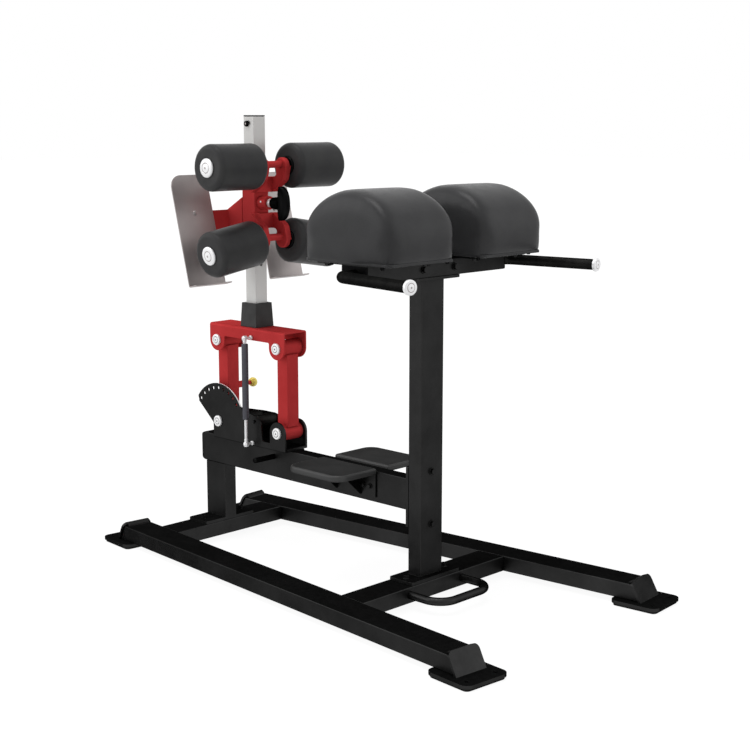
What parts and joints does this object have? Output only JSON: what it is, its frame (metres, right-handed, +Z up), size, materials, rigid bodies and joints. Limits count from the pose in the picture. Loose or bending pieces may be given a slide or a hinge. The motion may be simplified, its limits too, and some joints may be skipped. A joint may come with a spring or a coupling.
{
  "type": "glute ham developer",
  "caption": "Floor-standing glute ham developer: domed thigh pads on a front post and a sliding foot carriage with rollers and foot plates on a swinging mast.",
  "frame": {"origin": "middle of the footprint, on the floor", "axes": "+X to the front, where the hand grips are, +Y to the far side, +Z up"},
  "size_m": [1.8116, 0.993, 1.4593],
  "materials": {
    "black_coat": "satin",
    "red_coat": "satin",
    "mast_metal": "satin",
    "foot_plate_metal": "brushed",
    "bright_metal": "polished",
    "pad_cover": "satin",
    "black_rubber": "matte",
    "black_plastic": "satin",
    "yellow_plastic": "gloss"
  },
  "bodies": {
    "frame": {"near_rail": "black_coat", "far_rail": "black_coat", "near_rear_rubber_foot": "black_rubber", "near_front_rubber_foot": "black_rubber", "far_rear_rubber_foot": "black_rubber", "far_front_rubber_foot": "black_rubber", "front_cross_tube": "black_coat", "rear_cross_tube": "black_coat", "carry_loop": "black_coat", "rear_upright": "black_coat", "front_upright": "black_coat", "main_beam": "black_coat", "beam_plug": "black_plastic", "near_step": "black_coat", "far_step": "black_coat", "band_peg": "black_coat", "pad_frame": "black_coat", "near_thigh_pad": "pad_cover", "far_thigh_pad": "pad_cover", "near_hand_grip": "black_coat", "far_hand_grip": "black_coat", "near_grip_cap": "bright_metal", "far_grip_cap": "bright_metal", "link_bracket": "black_coat", "index_plate": "black_coat", "bump_stop": "black_rubber", "rear_lower_pivot_pin": "bright_metal", "front_lower_pivot_pin": "bright_metal", "lower_strut_stud": "black_coat"},
    "rear_link": {"rear_link": "red_coat"},
    "index_pin": {"index_pin": "bright_metal", "index_knob": "yellow_plastic"},
    "front_link": {"front_link": "red_coat"},
    "coupler": {"coupler": "red_coat", "rear_upper_pivot_pin": "bright_metal", "front_upper_pivot_pin": "bright_metal", "upper_strut_stud": "black_coat", "mast": "mast_metal", "mast_collar": "black_plastic", "mast_cap": "black_plastic"},
    "strut_rod": {"strut_rod": "bright_metal"},
    "strut_cylinder": {"strut_cylinder": "black_coat"},
    "carriage": {"carriage_sleeve": "red_coat", "sleeve_liner": "black_plastic", "upper_roller_yoke": "red_coat", "lower_roller_yoke": "red_coat", "footrest_bracket": "red_coat", "near_foot_plate": "foot_plate_metal", "far_foot_plate": "foot_plate_metal"},
    "pull_pin": {"pull_collar": "bright_metal", "pull_knob": "black_plastic"},
    "near_upper_roller": {"near_upper_roller": "pad_cover", "near_upper_roller_hub": "bright_metal"},
    "far_upper_roller": {"far_upper_roller": "pad_cover", "far_upper_roller_hub": "bright_metal"},
    "near_lower_roller": {"near_lower_roller": "pad_cover", "near_lower_roller_hub": "bright_metal"},
    "far_lower_roller": {"far_lower_roller": "pad_cover", "far_lower_roller_hub": "bright_metal"}
  },
  "joints": [
    {"name": "mast_swing", "type": "hinge", "parent": "frame", "child": "rear_link", "pos_m": [-0.616, 0, 0.426], "axis": [0, 1, 0], "range_deg": [-54, 54]},
    {"name": "coupler_level", "type": "hinge", "parent": "rear_link", "child": "coupler", "pos_m": [-0.616, 0, 0.708], "axis": [0, 1, 0], "range_deg": [-54.5, 54.5]},
    {"name": "front_link_swing", "type": "hinge", "parent": "frame", "child": "front_link", "pos_m": [-0.316, 0, 0.426], "axis": [0, 1, 0], "range_deg": [-54.5, 54.5]},
    {"name": "strut_rod_swing", "type": "hinge", "parent": "frame", "child": "strut_rod", "pos_m": [-0.438, -0.08, 0.376], "axis": [0, 1, 0], "range_deg": [-44, 44]},
    {"name": "strut_cylinder_swing", "type": "hinge", "parent": "coupler", "child": "strut_cylinder", "pos_m": [-0.438, -0.08, 0.734], "axis": [0, 1, 0], "range_deg": [-44, 44]},
    {"name": "index_pin_slide", "type": "slide", "parent": "rear_link", "child": "index_pin", "axis": [0, 1, 0], "range_m": [-0.01, 0.006]},
    {"name": "carriage_slide", "type": "slide", "parent": "coupler", "child": "carriage", "axis": [0, 0, 1], "range_m": [-0.204, 0.153]},
    {"name": "pull_pin_slide", "type": "slide", "parent": "carriage", "child": "pull_pin", "axis": [1, 0, 0], "range_m": [-0.007, 0.008]},
    {"name": "near_upper_roller_spin", "type": "hinge", "parent": "carriage", "child": "near_upper_roller", "pos_m": [-0.38, -0.053, 1.297], "axis": [0, 1, 0], "continuous": true},
    {"name": "far_upper_roller_spin", "type": "hinge", "parent": "carriage", "child": "far_upper_roller", "pos_m": [-0.38, 0.053, 1.297], "axis": [0, 1, 0], "continuous": true},
    {"name": "near_lower_roller_spin", "type": "hinge", "parent": "carriage", "child": "near_lower_roller", "pos_m": [-0.38, -0.053, 1.057], "axis": [0, 0.9877, 0.1564], "continuous": true},
    {"name": "far_lower_roller_spin", "type": "hinge", "parent": "carriage", "child": "far_lower_roller", "pos_m": [-0.38, 0.053, 1.057], "axis": [0, 0.9877, -0.1564], "continuous": true}
  ],
  "couplings": [
    {"joint": "coupler_level", "follows": "mast_swing", "ratio": -1},
    {"joint": "front_link_swing", "follows": "mast_swing", "ratio": 1},
    {"joint": "strut_rod_swing", "follows": "mast_swing", "ratio": 0.799},
    {"joint": "strut_cylinder_swing", "follows": "mast_swing", "ratio": 0.799}
  ]
}
